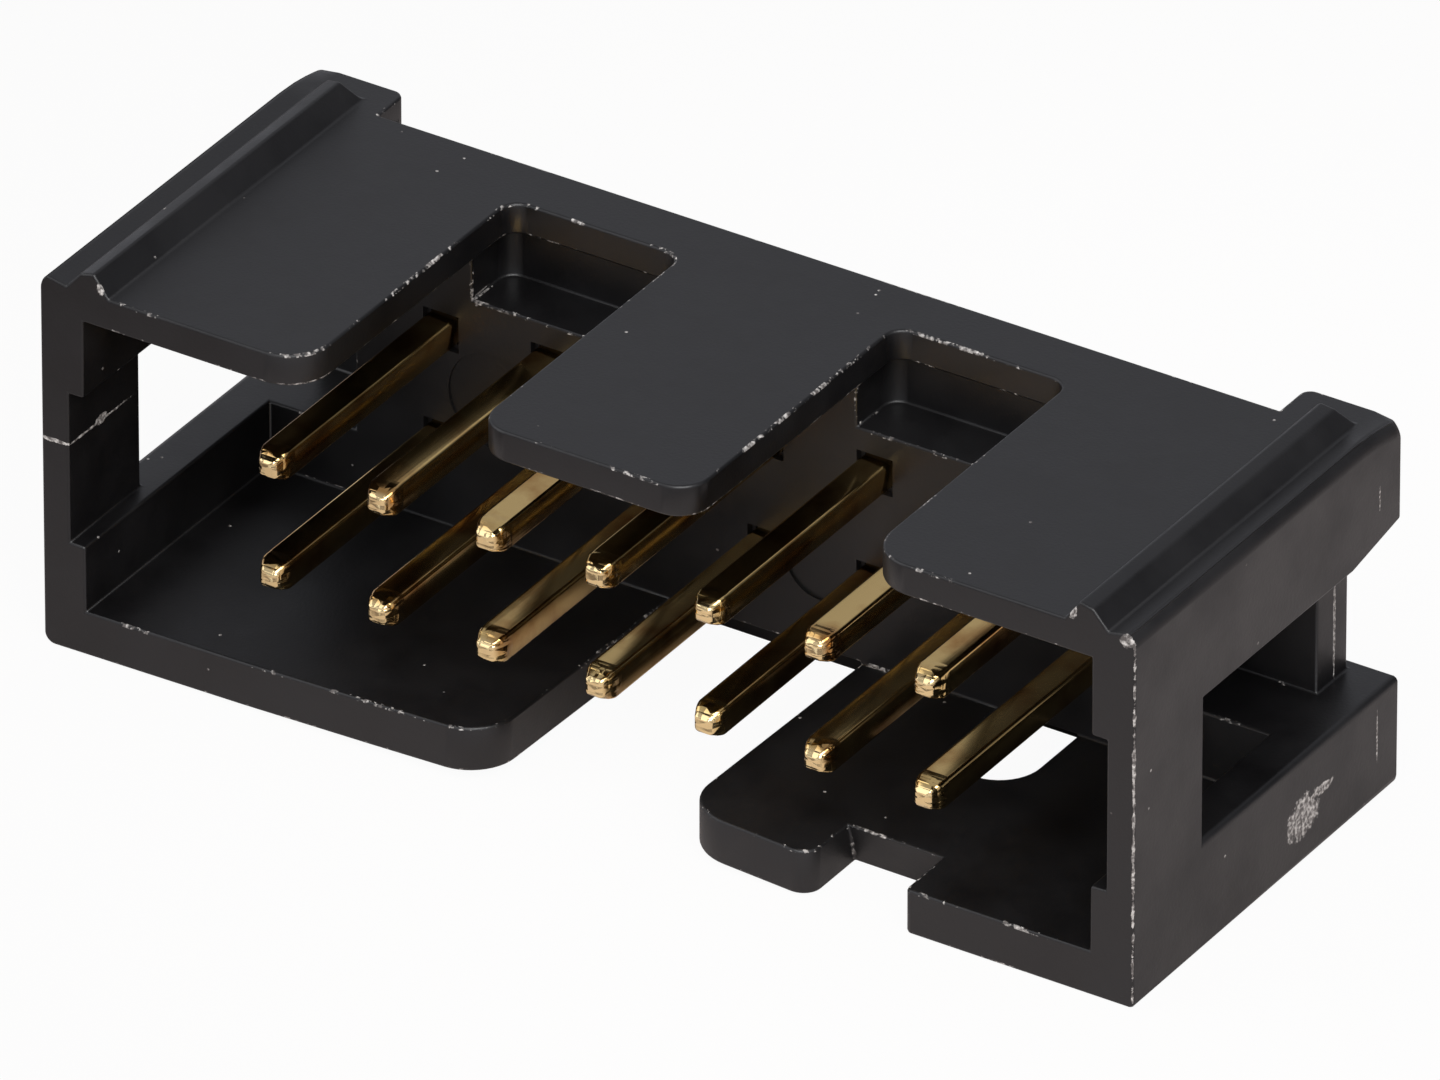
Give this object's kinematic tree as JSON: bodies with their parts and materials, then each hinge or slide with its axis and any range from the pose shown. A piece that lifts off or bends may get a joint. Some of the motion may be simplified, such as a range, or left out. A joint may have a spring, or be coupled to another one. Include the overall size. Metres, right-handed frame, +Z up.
{
  "type": "shrouded pin header",
  "caption": "Black shrouded two-row pin header for a ribbon-cable socket, with a key slot, end windows, notched top wall, gold-plated square contacts and board lugs.",
  "frame": {"origin": "under the middle of the whole header, on the surface that its keyed wall lies on", "axes": "+X along the contact rows, -Y out of the mating mouth, +Y towards the board and the tails, +Z up from the keyed wall to the notched wall"},
  "size_m": [0.0254, 0.0126, 0.0089],
  "materials": {
    "housing": "fine satin moulding, glass-filled",
    "contact": "gold plated at the mating end, tinned tails"
  },
  "bodies": {
    "root": {"housing": "housing", "pin_1": "contact", "pin_2": "contact", "pin_3": "contact", "pin_4": "contact", "pin_5": "contact", "pin_6": "contact", "pin_7": "contact", "pin_8": "contact", "pin_9": "contact", "pin_10": "contact", "pin_11": "contact", "pin_12": "contact", "pin_13": "contact", "pin_14": "contact"}
  },
  "joints": []
}
